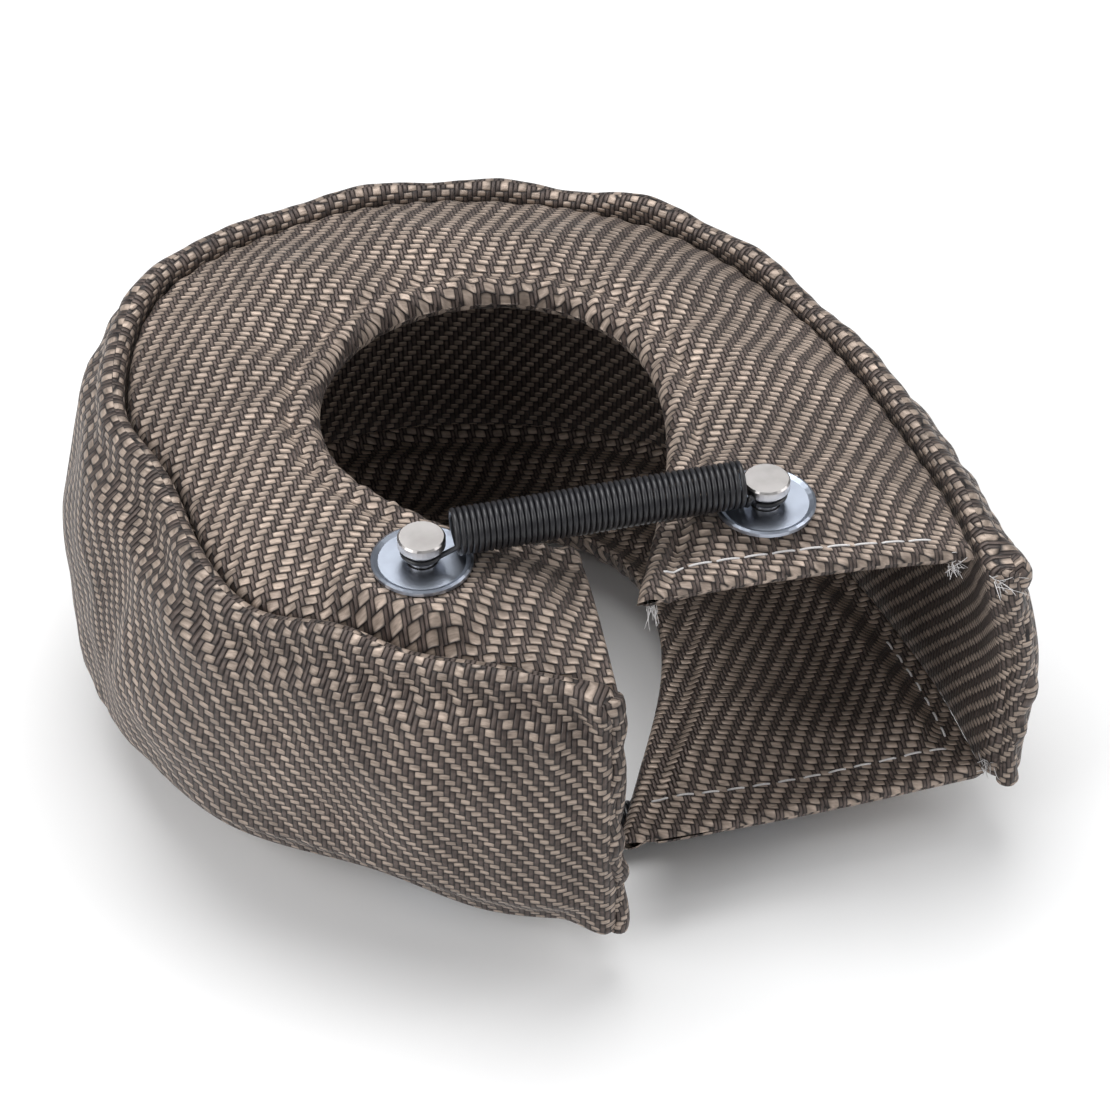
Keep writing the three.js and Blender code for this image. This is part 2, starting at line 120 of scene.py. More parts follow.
def add_camera():
    azimuth = math.radians(CAMERA_AZIMUTH)
    elevation = math.radians(CAMERA_ELEVATION)
    back = Vector((
        math.sin(azimuth) * math.cos(elevation),
        -math.cos(azimuth) * math.cos(elevation),
        math.sin(elevation),
    ))
    target = Vector(ORIGIN + np.array(CAMERA_TARGET)) * MM
    data = bpy.data.cameras.new("camera")
    data.sensor_width = SENSOR_WIDTH
    data.lens = SENSOR_WIDTH * (FOCAL_PIXELS / PHOTO_PIXELS)
    data.clip_start = 0.01
    camera = bpy.data.objects.new("camera", data)
    camera.location = target + back * CAMERA_DISTANCE * MM
    camera.rotation_euler = (-back).to_track_quat("-Z", "Y").to_euler()
    scene.collection.objects.link(camera)
    scene.camera = camera


def smooth(value):
    value = np.clip(value, 0.0, 1.0)
    return value * value * (3.0 - 2.0 * value)


def mix(a, b, share):
    return a + (b - a) * share


def polar(degrees, distance, z):
    angle = math.radians(degrees)
    return (distance * math.cos(angle), distance * math.sin(angle), z)


# Edges of the top panel, paired point by point from the left arm's end round
# the back to the right arm's end
HOLE_PLAN = [
    (-108, HOLE_RADIUS + 2),
    (-135, HOLE_RADIUS),
    (-160, HOLE_RADIUS),
    (-185, HOLE_RADIUS),
    (-211, HOLE_RADIUS),
    (-239, HOLE_RADIUS),
    (-267, HOLE_RADIUS),
    (-295, HOLE_RADIUS),
    (-323, HOLE_RADIUS - 1),
    (-355, HOLE_RADIUS - 2),
    (-399, HOLE_RADIUS + 2),
]
HOLE_EDGE = [
    (LEFT_END_X + 1, LEFT_INNER_Y, TOP_HOLE_Z - TOP_ARM_DROP + 0.5),
    polar(*HOLE_PLAN[0], TOP_HOLE_Z - 2),
    *[polar(*at, TOP_HOLE_Z) for at in HOLE_PLAN[1:-2]],
    polar(*HOLE_PLAN[-2], TOP_HOLE_Z - 0.5),
    polar(*HOLE_PLAN[-1], TOP_HOLE_Z - 1.5),
    (RIGHT_INNER_X, RIGHT_END_Y + 3, TOP_HOLE_Z - 3.5),
]
SEAM_EDGE = [
    (LEFT_END_X + 0.5, LEFT_OUTER_Y, TOP_SEAM_Z - TOP_ARM_DROP - 3.5),
    polar(-103.5, BODY_RADIUS - 7, TOP_SEAM_Z - TOP_ARM_DROP - 1),
    polar(-123, BODY_RADIUS - 10, TOP_SEAM_Z - TOP_ARM_DROP - 0.5),
    polar(-151, BODY_RADIUS - 7, TOP_SEAM_Z - TOP_ARM_DROP - 0.5),
    polar(-177, BODY_RADIUS - 10, TOP_SEAM_Z - 4.5),
    polar(-199, BODY_RADIUS + 0.5, TOP_SEAM_Z - 2.5),
    polar(-225, BODY_RADIUS + 7, TOP_SEAM_Z - 0.5),
    polar(-255, BODY_RADIUS + 1.5, TOP_SEAM_Z + 0.5),
    polar(-284, BODY_RADIUS - 3, TOP_SEAM_Z + 0.5),
    polar(-315, BODY_RADIUS - 3.5, TOP_SEAM_Z - 0.5),
    polar(-349, BODY_RADIUS - 2.5, TOP_SEAM_Z - 1.5),
    (RIGHT_OUTER_X - 5, RIGHT_END_Y / 2, TOP_SEAM_Z - 3.5),
    (RIGHT_OUTER_X - 3, RIGHT_END_Y - 3, TOP_SEAM_Z - 7.5),
]
TOP_RIM = SEAM_EDGE[:-1] + [(RIGHT_OUTER_X - 4, RIGHT_END_Y + 3, TOP_SEAM_Z - 2.5)]

# Hole edge of the bottom panel, which reaches further across the open gap
BOTTOM_HOLE_EDGE = [
    (LEFT_END_X - 2, LEFT_INNER_Y - 2, BOTTOM_HOLE_Z + BOTTOM_HOLE_RISE),
    *[polar(*at, BOTTOM_HOLE_Z) for at in HOLE_PLAN],
    (BOTTOM_INNER_X, RIGHT_END_Y - 3, BOTTOM_HOLE_Z - 0.5),
]

# Lower edge of the band, paired with the seam above it
FOOT_EDGE = [
    (LEFT_END_X + 1, LEFT_OUTER_Y - 3, BOTTOM_SEAM_Z + 2.5),
    polar(-103.5, BODY_RADIUS - 4, BOTTOM_SEAM_Z + 2),
    polar(-123, BODY_RADIUS - 8, BOTTOM_SEAM_Z + 5.5),
    polar(-151, BODY_RADIUS - 3.5, BOTTOM_SEAM_Z + 3),
    polar(-177, BODY_RADIUS + 1.5, BOTTOM_SEAM_Z + 0.5),
    polar(-199, BODY_RADIUS + 5, BOTTOM_SEAM_Z),
    polar(-225, BODY_RADIUS + 7, BOTTOM_SEAM_Z),
    polar(-255, BODY_RADIUS + 3, BOTTOM_SEAM_Z),
    polar(-284, BODY_RADIUS - 1, BOTTOM_SEAM_Z),
    polar(-315, BODY_RADIUS - 0.5, BOTTOM_SEAM_Z + 1),
    polar(-349, BODY_RADIUS + 0.5, BOTTOM_SEAM_Z + 3),
    (RIGHT_OUTER_X - 2, RIGHT_END_Y / 2, BOTTOM_SEAM_Z + 5.5),
    (RIGHT_OUTER_X + 1, RIGHT_END_Y - 3, BOTTOM_SEAM_Z + 5),
]

# Broad soft folds: where along the blanket, how wide, how deep
TOP_FOLDS = [
    (0.2, 0.022, 1.1),
    (0.33, 0.02, -0.8),
    (0.52, 0.018, 1.2),
    (0.66, 0.022, -0.9),
    (0.78, 0.02, 1.0),
]
BAND_FOLDS = [
    (0.13, 0.02, 1.1),
    (0.3, 0.016, 1.6),
    (0.47, 0.02, -1.2),
    (0.62, 0.02, 1.3),
    (0.83, 0.018, -1.1),
]

# Unevenness of the padding: wavelengths and depths of its broad and fine waves
PANEL_BROAD_WAVE, PANEL_BROAD_DEPTH = 26, 0.42
PANEL_FINE_WAVE, PANEL_FINE_DEPTH = 9, 0.12
BAND_BROAD_WAVE, BAND_BROAD_DEPTH = 28, 0.45
BAND_FINE_WAVE, BAND_FINE_DEPTH = 9, 0.13

# Gathers of the hole's hem, close to the edge and further in: pitch, depth, reach
GATHER_PITCH, GATHER_DEPTH, GATHER_REACH = 5.6, 0.33, 7.5
FAR_PITCH, FAR_DEPTH, FAR_REACH = 12.5, 0.45, 9
FAR_CENTRE = 11

# The hem's rolled rim and the dip of its stitching: distance in, width, depth
RIM_AT, RIM_WIDTH, RIM_RISE = 2.6, 1.8, 0.5
DIP_AT, DIP_WIDTH, DIP_DEPTH = 6.4, 1.3, 1.0
DIP_GATHER = 0.35

# Puckers along the panels' outer seam and under the band's ridge
SEAM_PUCKER_PITCH, SEAM_PUCKER_DEPTH, SEAM_PUCKER_REACH = 7.5, 0.35, 6
BAND_PUCKER_PITCH, BAND_PUCKER_DEPTH, BAND_PUCKER_REACH = 8.5, 0.35, 5
BAND_PUCKER_CENTRE = 6

# The ridge's rolled rim and the groove of its stitching: distance down, width, depth
RIDGE_RIM_AT, RIDGE_RIM_WIDTH, RIDGE_RIM_RISE = 2.5, 2, 0.6
RIDGE_GROOVE_AT, RIDGE_GROOVE_WIDTH, RIDGE_GROOVE_DEPTH = 6.5, 1.6, 0.8
RIDGE_WAVE, RIDGE_UNEVENNESS = 32, 0.8

# The crown's share at the arms' ends, its shape, and the back face's share of the relief
END_CROWN = 0.45
CROWN_POWER = 0.8
BACK_RELIEF = 0.35
CALM_BLEND = 7

# The lining's yarns lie beside the outer cloth's
LINING_SHIFT = 0.6


def curve(points, t):
    """Points on a uniform Catmull-Rom curve at shares t of its control points."""
    points = np.array(points, float)
    count = len(points)
    ext = np.vstack([2 * points[0] - points[1], points, 2 * points[-1] - points[-2]])
    place = np.clip(t, 0, 1) * (count - 1)
    i = np.clip(np.floor(place).astype(int), 0, count - 2)
    f = (place - i)[:, None]
    a, b, c, d = ext[i], ext[i + 1], ext[i + 2], ext[i + 3]
    squared = (2 * a - 5 * b + 4 * c - d) * f ** 2
    cubed = (3 * b - a - 3 * c + d) * f ** 3
    return 0.5 * (2 * b + (c - a) * f + squared + cubed)


def run_length(points):
    steps = np.linalg.norm(np.diff(points[:, :2], axis=0), axis=1)
    return np.concatenate([[0.0], np.cumsum(steps)])


def ripple(x, y, wavelength, seed, waves=18):
    """Smooth seeded unevenness of about unit size."""
    rng = np.random.default_rng(seed)
    total = np.zeros(np.broadcast(x, y).shape)
    for _ in range(waves):
        angle = rng.uniform(0, 2 * math.pi)
        number = 2 * math.pi / (wavelength * rng.uniform(0.7, 1.6))
        phase = rng.uniform(0, 2 * math.pi)
        total = total + np.cos(number * (x * math.cos(angle) + y * math.sin(angle)) + phase)
    return total * math.sqrt(2.0 / waves)


def bell(distance, at, width):
    """A soft hump of height 1 at a place."""
    return np.exp(-(((distance - at) / width) ** 2))


def folds(pattern, t):
    return sum(depth * bell(t, at, width) for at, width, depth in pattern)


def pad_share(distance, hem):
    return smooth((distance - hem * 0.3) / (hem * 1.6))


def rounding(distance, radius):
    """How far a face turns in towards the middle within a radius of an edge."""
    inside = np.clip((radius - distance) / radius, 0, 1)
    return radius * (1 - np.sqrt(np.clip(1 - inside ** 2, 0, 1)))


def stations(length, radius):
    """Shares along the blanket, closer together at both rounded ends."""
    near = (1 - np.cos(np.linspace(0, math.pi / 2, END_ROWS))) * radius / length
    field = np.linspace(near[-1], 1 - near[-1], STATIONS)[1:-1]
    return np.concatenate([near, field, 1 - near[::-1]])


def columns(width, first, last):
    """Distances across a panel, closer together at both rounded edges."""
    turn = 1 - np.cos(np.linspace(0, math.pi / 2, ROUND_COLUMNS))
    start = np.repeat((first * turn)[None, :], len(width), axis=0)
    stop = width[:, None] - (last * turn[::-1])[None, :]
    share = np.linspace(0, 1, FIELD_COLUMNS)[None, 1:-1]
    field = start[:, -1:] + (stop[:, :1] - start[:, -1:]) * share
    return np.hstack([start, field, stop])


def outward(points):
    tangent = np.gradient(points[:, :2], axis=0)
    tangent /= np.linalg.norm(tangent, axis=1)[:, None]
    return np.stack([-tangent[:, 1], tangent[:, 0], np.zeros(len(points))], axis=1)


def arm_share(t):
    return (2 * t - 1) ** 2


def seat(place, posts, fade):
    """Flattens a face round each post, as the washers press it."""
    for x, y, z in posts.values():
        distance = np.hypot(place[..., 0] - x, place[..., 1] - y)
        on_seat = fade * (1 - smooth((distance - WASHER_RADIUS - SEAT_MARGIN) / SEAT_BLEND))
        place[..., 2] = mix(place[..., 2], z, on_seat)
    return place


def closed_grid(name, outer, inner, weave_outer, weave_inner):
    """A closed skin of two faces that meet along their edges, with weave
    coordinates. The inner face takes the second material, short of its hems.
    """
    rows, width = outer.shape[:2]
    place = np.concatenate([outer, inner[:, ::-1]], axis=1)
    weave = np.concatenate([weave_outer, weave_inner[:, ::-1]], axis=1)
    around = place.shape[1]
    vertices = (place.reshape(-1, 3) + ORIGIN) * MM
    i, j = np.meshgrid(np.arange(rows - 1), np.arange(around), indexing="ij")
    k = (j + 1) % around
    here, beyond = i * around, (i + 1) * around
    faces = np.stack([here + j, beyond + j, beyond + k, here + k], axis=-1).reshape(-1, 4)
    # Inner faces take the lining material, a darker copy of the cloth with painted shade
    lining_faces_painted_shade = (j > width + ROUND_COLUMNS) & (j < around - ROUND_COLUMNS - 2)
    mesh = bpy.data.meshes.new(name)
    mesh.from_pydata(vertices.tolist(), [], faces.tolist())
    mesh.polygons.foreach_set("material_index", lining_faces_painted_shade.ravel().astype(np.int32))
    layer = mesh.uv_layers.new(name="weave")
    layer.data.foreach_set("uv", weave.reshape(-1, 2)[faces.ravel()].ravel())
    bm = bmesh.new()
    bm.from_mesh(mesh)
    bmesh.ops.remove_doubles(bm, verts=bm.verts, dist=0.01 * MM)
    bmesh.ops.dissolve_degenerate(bm, edges=bm.edges, dist=0.001 * MM)
    bmesh.ops.recalc_face_normals(bm, faces=bm.faces)
    bm.to_mesh(mesh)
    bm.free()
    mesh.polygons.foreach_set("use_smooth", [True] * len(mesh.polygons))
    piece = bpy.data.objects.new(name, mesh)
    scene.collection.objects.link(piece)
    return piece


# Weave coordinates of the panels: the cloth's yarns run level across the view
WEAVE_ANGLE = math.radians(-13.7)


def plan_weave(place, shift):
    u = place[..., 0] * math.cos(WEAVE_ANGLE) + place[..., 1] * math.sin(WEAVE_ANGLE)
    v = -place[..., 0] * math.sin(WEAVE_ANGLE) + place[..., 1] * math.cos(WEAVE_ANGLE)
    return np.stack([u + shift, v + shift], axis=-1)


def hem_detail(along, to_edge, seed):
    """A rolled rim, the dip of its stitching and irregular gathers."""
    phase = 2 * math.pi * along / GATHER_PITCH + 1.3 * ripple(along, 0 * along, 30, seed)
    pleat = np.cos(phase) + 0.5 * np.cos(1.7 * phase + 1.1)
    rim = RIM_RISE * bell(to_edge, RIM_AT, RIM_WIDTH)
    dip = -DIP_DEPTH * bell(to_edge, DIP_AT, DIP_WIDTH) * (1 + DIP_GATHER * pleat)
    near = GATHER_DEPTH * pleat * bell(to_edge, 0, GATHER_REACH)
    far_phase = 2 * math.pi * along / FAR_PITCH + 1.7 * ripple(along, 0 * along, 45, seed + 1)
    far = FAR_DEPTH * np.cos(far_phase) * bell(to_edge, FAR_CENTRE, FAR_REACH)
    return rim + dip + near + far


def panel_piece(name, is_top):
    """A padded panel, with its two faces and each row's distance from an end."""
    seam = curve(SEAM_EDGE, np.linspace(0, 1, CURVE_SAMPLES))
    length = run_length(seam)[-1]
    t = stations(length, END_HEM / 2)
    inner = curve(HOLE_EDGE, t)
    outer = curve(TOP_RIM, t)
    if not is_top:
        direction = outward(curve(SEAM_EDGE, t))
        inner = curve(BOTTOM_HOLE_EDGE, t)
        outer = curve(FOOT_EDGE, t) - direction * BOTTOM_INSET
    across = outer - inner
    width = np.hypot(across[:, 0], across[:, 1])
    to_hole = columns(width, HOLE_HEM / 2, SEAM_HEM / 2)
    to_seam = width[:, None] - to_hole
    share = to_hole / width[:, None]
    to_end = (np.minimum(t, 1 - t) * length)[:, None]
    end_share = pad_share(to_end, END_HEM_WIDTH)
    fill = pad_share(to_hole, HEM_WIDTH) * pad_share(to_seam, HEM_WIDTH) * end_share
    hem = mix(HOLE_HEM, SEAM_HEM, smooth(share * 3))
    thickness = mix(mix(END_HEM, hem, end_share), PAD_THICKNESS, fill)
    arch = np.sin(math.pi * np.clip(share, 0, 1)) ** CROWN_POWER * mix(END_CROWN, 1, end_share)
    place = inner[:, None, :] + across[:, None, :] * share[..., None]
    x, y = place[..., 0].copy(), place[..., 1].copy()
    along_hole = run_length(inner)[:, None] + 0 * share
    along_seam = run_length(outer)[:, None] + 0 * share
    detail = hem_detail(along_hole, to_hole, 3 if is_top else 8)
    pucker_phase = 2 * math.pi * along_seam / SEAM_PUCKER_PITCH + 1.5 * ripple(along_seam, 0 * x, 40, 5)
    detail += SEAM_PUCKER_DEPTH * np.cos(pucker_phase) * bell(to_seam, 0, SEAM_PUCKER_REACH)
    broad = PANEL_BROAD_DEPTH * ripple(x, y, PANEL_BROAD_WAVE, 11)
    fine = PANEL_FINE_DEPTH * ripple(x, y, PANEL_FINE_WAVE, 12)
    detail += fill * (broad + fine)
    if is_top:
        place[..., 2] += TOP_CROWN * arch + folds(TOP_FOLDS, t)[:, None] * arch
    else:
        place[..., 2] -= mix(BOTTOM_REAR_CROWN, BOTTOM_ARM_CROWN, arm_share(t))[:, None] * arch
    fade = smooth(to_hole / SEAT_FADE) * smooth(to_seam / SEAT_FADE) * end_share
    posts = TOP_POSTS if is_top else BOTTOM_POSTS
    place = seat(place, posts, fade)
    calm = np.ones_like(x)
    for post_x, post_y, _ in posts.values():
        beside = np.hypot(x - post_x, y - post_y) - WASHER_RADIUS
        calm = np.minimum(calm, smooth(beside / CALM_BLEND))
    turn = rounding(to_hole, HOLE_HEM / 2) + rounding(to_seam, SEAM_HEM / 2)
    turn = np.minimum(turn + rounding(to_end, END_HEM / 2), thickness / 2)
    sign = 1 if is_top else -1
    face = place.copy()
    face[..., 2] += sign * (detail * calm - turn)
    back = place.copy()
    back[..., 2] += sign * (-thickness + turn - BACK_RELIEF * detail * calm)
    piece = closed_grid(name, face, back, plan_weave(face, 0.0), plan_weave(back, LINING_SHIFT))
    return piece, face, back, to_end[:, 0]


def band_piece(name):
    """The padded side band, with its outer and inner faces."""
    dense = curve(SEAM_EDGE, np.linspace(0, 1, CURVE_SAMPLES))
    length = run_length(dense)[-1]
    t = stations(length, BAND_END / 2)
    top = curve(SEAM_EDGE, t)
    direction = outward(top)
    foot = curve(FOOT_EDGE, t)
    foot[:, 2] -= BAND_FOOT
    along_1d = run_length(top)
    top[:, 2] += BAND_RIDGE + RIDGE_UNEVENNESS * ripple(along_1d, 0 * along_1d, RIDGE_WAVE, 21)
    height = top[:, 2] - foot[:, 2]
    down = columns(height, BAND_EDGE / 2, BAND_EDGE / 2)
    share = down / height[:, None]
    to_edge = np.minimum(down, height[:, None] - down)
    to_end = (np.minimum(t, 1 - t) * length)[:, None]
    end_share = pad_share(to_end, END_HEM_WIDTH)
    fill = pad_share(to_edge, HEM_WIDTH) * end_share
    thickness = mix(mix(BAND_END, BAND_EDGE, end_share), PAD_THICKNESS, fill)
    bow = np.sin(math.pi * np.clip(share, 0, 1))
    bulge = (BAND_BULGE + folds(BAND_FOLDS, t)[:, None]) * bow ** 2
    along = along_1d[:, None] + 0 * share
    level = top[:, None, 2] - down
    broad = BAND_BROAD_DEPTH * ripple(along, level, BAND_BROAD_WAVE, 31)
    fine = BAND_FINE_DEPTH * ripple(along, level, BAND_FINE_WAVE, 32)
    detail = fill * (broad + fine)
    pucker_phase = 2 * math.pi * along / BAND_PUCKER_PITCH + 1.5 * ripple(along, 0 * along, 45, 33)
    pucker = BAND_PUCKER_DEPTH * np.cos(pucker_phase)
    detail += pucker * bell(down, BAND_PUCKER_CENTRE, BAND_PUCKER_REACH)
    detail += RIDGE_RIM_RISE * bell(down, RIDGE_RIM_AT, RIDGE_RIM_WIDTH)
    detail -= RIDGE_GROOVE_DEPTH * bell(down, RIDGE_GROOVE_AT, RIDGE_GROOVE_WIDTH)
    place = top[:, None, :] + (foot - top)[:, None, :] * share[..., None]
    turn = rounding(to_edge, BAND_EDGE / 2) + rounding(to_end, BAND_END / 2)
    turn = np.minimum(turn, thickness / 2)
    inner_offset = SEAM_CLEARANCE + bulge + turn
    outer_offset = SEAM_CLEARANCE + bulge + thickness - turn + detail
    inside = place + direction[:, None, :] * inner_offset[..., None]
    outside = place + direction[:, None, :] * outer_offset[..., None]
    weave = np.stack([along, level], axis=-1)
    piece = closed_grid(name, outside, inside, weave, weave + LINING_SHIFT)
    return piece, outside, inside


class Graph:
    """Short calls for making a material's nodes."""

    def __init__(self, name):
        self.material = bpy.data.materials.new(name)
        self.material.use_nodes = True
        self.tree = self.material.node_tree
        self.tree.nodes.clear()
        self.output = self.node("ShaderNodeOutputMaterial")
        self.shader = self.node("ShaderNodeBsdfPrincipled")
        self.link(self.shader.outputs[0], self.output.inputs[0])

    def node(self, kind, **settings):
        made = self.tree.nodes.new(kind)
        for key, value in settings.items():
            setattr(made, key, value)
        return made

    def link(self, a, b):
        self.tree.links.new(a, b)

    def put(self, socket, value):
        if isinstance(value, bpy.types.NodeSocket):
            self.link(value, socket)
        else:
            socket.default_value = value

    def math(self, operation, a, b=0.0, c=0.0):
        made = self.node("ShaderNodeMath", operation=operation)
        for socket, value in zip(made.inputs, (a, b, c)):
            self.put(socket, value)
        return made.outputs[0]

    def noise(self, vector, scale, detail=2.0, roughness=0.5):
        made = self.node("ShaderNodeTexNoise")
        self.link(vector, made.inputs["Vector"])
        made.inputs["Scale"].default_value = scale
        made.inputs["Detail"].default_value = detail
        made.inputs["Roughness"].default_value = roughness
        return made.outputs["Fac"]

    def combine(self, x, y, z=0.0):
        made = self.node("ShaderNodeCombineXYZ")
        for socket, value in zip(made.inputs, (x, y, z)):
            self.put(socket, value)
        return made.outputs[0]

    def remap(self, value, low_in, high_in, low_out, high_out):
        made = self.node("ShaderNodeMapRange")
        made.interpolation_type = "SMOOTHSTEP"
        for socket, number in zip(made.inputs, (value, low_in, high_in, low_out, high_out)):
            self.put(socket, number)
        return made.outputs[0]

    def blend(self, share, a, b, kind="MIX"):
        made = self.node("ShaderNodeMix", data_type="RGBA", blend_type=kind)
        self.put(made.inputs[0], share)
        self.put(made.inputs[6], a)
        self.put(made.inputs[7], b)
        return made.outputs[2]

    def bump(self, height, distance, strength=1.0, normal=None):
        made = self.node("ShaderNodeBump")
        made.inputs["Distance"].default_value = distance
        made.inputs["Strength"].default_value = strength
        self.link(height, made.inputs["Height"])
        if normal is not None:
            self.link(normal, made.inputs["Normal"])
        return made.outputs[0]

    def dome(self, along, across):
        """A float's height: round across the yarn and dipping at both ends."""
        centred = self.math("MULTIPLY_ADD", across, 2.0, -1.0)
        side = self.math("SUBTRACT", 1.0, self.math("POWER", self.math("ABSOLUTE", centred), 3.0))
        ends = self.math("SINE", self.math("MULTIPLY", along, math.pi))
        ends = self.math("POWER", self.math("MAXIMUM", ends, 0.0), 0.45)
        return self.math("MULTIPLY", side, ends)

    def grey(self, value):
        """The same number in all three colour channels."""
        made = self.node("ShaderNodeCombineColor")
        for socket in made.inputs:
            self.put(socket, value)
        return made.outputs[0]


def rgb(red, green, blue):
    return (red, green, blue, 1.0)


# Twill of flat yarns: the level yarns' colour with a painted sheen and the upright yarns' colour with
# painted shade, in place of their anisotropic reflection, and the painted shadow in the gaps between them
SHEEN_LIT_YARN = rgb(0.40, 0.318, 0.262)
SHEEN_SHADED_YARN = rgb(0.155, 0.117, 0.102)
GAP_PAINTED_SHADE = rgb(0.011, 0.008, 0.008)

# Painted shade on the lining: it darkens between these two places along Y, away from the open mouth
DEEP_SHADE = 0.07
MOUTH_Y = -0.055
DEEP_Y = -0.02

# The twill's repeat in yarns, and how far its yarns wander, in millimetres
REPEAT = 4.0
WANDER = 1.3
WANDER_SCALE = 0.06
FLOAT_BLUR = 0.06
UPRIGHT_HEIGHT = 0.8
RELIEF = 0.34
FIBRE_RELIEF = 0.16


def twill_material(name, pitch_u, pitch_v, skew, level_float, shade, dark, deepens_painted_shade=False):
    """A 2/2 twill: level yarns catch the light, upright yarns stay dark.

    Pitches are in millimetres, level_float is a level yarn's share of the four
    columns of the repeat, and skew leans the upright yarns. shade scales the
    whole as painted shade, and dark scales the upright yarns as painted shade in place of their sheen. A
    lining's painted shade deepens away from the mouth.
    """
    g = Graph(name)
    uv = g.node("ShaderNodeUVMap", uv_map="weave").outputs[0]
    split = g.node("ShaderNodeSeparateXYZ")
    g.link(uv, split.inputs[0])
    wander_u = g.noise(uv, WANDER_SCALE, 2.0)
    wander_v = g.noise(g.combine(split.outputs[1], split.outputs[0]), WANDER_SCALE, 2.0)
    level = g.math("ADD", split.outputs[1], g.math("MULTIPLY", wander_v, WANDER))
    across = g.math("ADD", split.outputs[0], g.math("MULTIPLY", wander_u, WANDER))
    u = g.math("DIVIDE", g.math("MULTIPLY_ADD", level, skew, across), pitch_u)
    v = g.math("DIVIDE", level, pitch_v)
    row = g.math("FLOOR", v)
    in_v = g.math("SUBTRACT", v, row)
    step = g.math("FLOORED_MODULO", g.math("SUBTRACT", u, row), REPEAT)
    is_level = g.remap(step, level_float - FLOAT_BLUR, level_float + FLOAT_BLUR, 1.0, 0.0)
    is_upright = g.math("SUBTRACT", 1.0, is_level)
    level_along = g.math("MINIMUM", g.math("DIVIDE", step, level_float), 1.0)
    rest = g.math("MULTIPLY", g.math("SUBTRACT", step, level_float), 2.0 / (REPEAT - level_float))
    rest = g.math("MAXIMUM", rest, 0.0)
    which = g.math("GREATER_THAN", rest, 1.0)
    in_u = g.math("SUBTRACT", rest, which)
    upright_along = g.math("MULTIPLY", g.math("SUBTRACT", g.math("ADD", in_v, 1.0), which), 0.5)
    level_height = g.math("MULTIPLY", g.dome(level_along, in_v), is_level)
    upright_height = g.math("MULTIPLY", g.dome(upright_along, in_u), UPRIGHT_HEIGHT)
    upright_height = g.math("MULTIPLY", upright_height, is_upright)
    height = g.math("ADD", level_height, upright_height)
    # Fibres run along each yarn
    level_place = g.combine(g.math("MULTIPLY", u, 0.6), g.math("MULTIPLY", v, 7.0))
    level_fibre = g.math("MULTIPLY", g.noise(level_place, 1.0, 3.0, 0.6), is_level)
    upright_place = g.combine(g.math("MULTIPLY", u, 8.0), g.math("MULTIPLY", v, 0.6))
    upright_fibre = g.math("MULTIPLY", g.noise(upright_place, 1.0, 3.0, 0.6), is_upright)
    fibre = g.math("ADD", level_fibre, upright_fibre)
    # Each float has its own tone, and the cloth is lighter and darker in broad random patches
    tone = g.noise(g.combine(g.math("MULTIPLY", u, 0.31), g.math("MULTIPLY", v, 1.3)), 1.0, 1.0)
    # The yarns' colours carry a painted sheen: level yarns lighter, upright yarns darker
    yarn = g.blend(is_level, SHEEN_SHADED_YARN, SHEEN_LIT_YARN)
    fibre_shade = g.remap(fibre, 0.25, 0.75, 0.78, 1.16)
    tone_shade = g.remap(tone, 0.3, 0.7, 0.72, 1.22)
    streak = g.math("MULTIPLY", fibre_shade, tone_shade)
    coords = g.node("ShaderNodeTexCoord").outputs["Object"]
    patch = g.remap(g.noise(coords, 34.0, 3.0), 0.3, 0.7, 0.84, 1.1)
    # Painted shade: shade darkens the whole and dark darkens the upright yarns against the sheen of the
    # level yarns
    upright_shade = g.math("MULTIPLY_ADD", is_level, shade - shade * dark, shade * dark)
    streak = g.math("MULTIPLY", g.math("MULTIPLY", streak, patch), upright_shade)
    # Painted shade: the lining darkens away from the open mouth
    if deepens_painted_shade:
        place = g.node("ShaderNodeSeparateXYZ")
        g.link(coords, place.inputs[0])
        deep = g.remap(place.outputs[1], MOUTH_Y, DEEP_Y, 1.0, DEEP_SHADE)
        streak = g.math("MULTIPLY", streak, deep)
    streaked = g.blend(1.0, yarn, g.grey(streak), "MULTIPLY")
    # Painted shadow in the gaps between yarns, deepest where the weave is lowest
    depth = g.remap(height, 0.02, 0.72, 0.0, 1.0)
    g.link(g.blend(depth, GAP_PAINTED_SHADE, streaked), g.shader.inputs["Base Color"])
    g.link(g.remap(fibre, 0.2, 0.8, 0.36, 0.52), g.shader.inputs["Roughness"])
    g.shader.inputs["Specular IOR Level"].default_value = 0.5
    g.shader.inputs["Metallic"].default_value = 0.35
    g.shader.inputs["Anisotropic"].default_value = 0.8
    g.link(g.math("MULTIPLY", is_upright, 0.25), g.shader.inputs["Anisotropic Rotation"])
    tangent = g.node("ShaderNodeTangent", direction_type="UV_MAP", uv_map="weave")
    g.link(tangent.outputs[0], g.shader.inputs["Tangent"])
    g.shader.inputs["Sheen Weight"].default_value = 0.05
    g.shader.inputs["Sheen Roughness"].default_value = 0.4
    relief = g.math("ADD", height, g.math("MULTIPLY", fibre, FIBRE_RELIEF))
    g.link(g.bump(relief, RELIEF * MM), g.shader.inputs["Normal"])
    return g.material


def metal_material(name, colour, roughness, scratch, tint):
    g = Graph(name)
    coords = g.node("ShaderNodeTexCoord").outputs["Object"]
    fine = g.noise(coords, 2600.0, 4.0, 0.65)
    broad = g.noise(coords, 160.0, 3.0)
    g.link(g.blend(g.remap(broad, 0.35, 0.7, 0.0, 1.0), colour, tint), g.shader.inputs["Base Color"])
    g.shader.inputs["Metallic"].default_value = 1.0
    rough = g.math("MULTIPLY_ADD", fine, scratch, roughness)
    g.link(rough, g.shader.inputs["Roughness"])
    g.link(g.bump(fine, 0.004 * MM, 0.3), g.shader.inputs["Normal"])
    return g.material


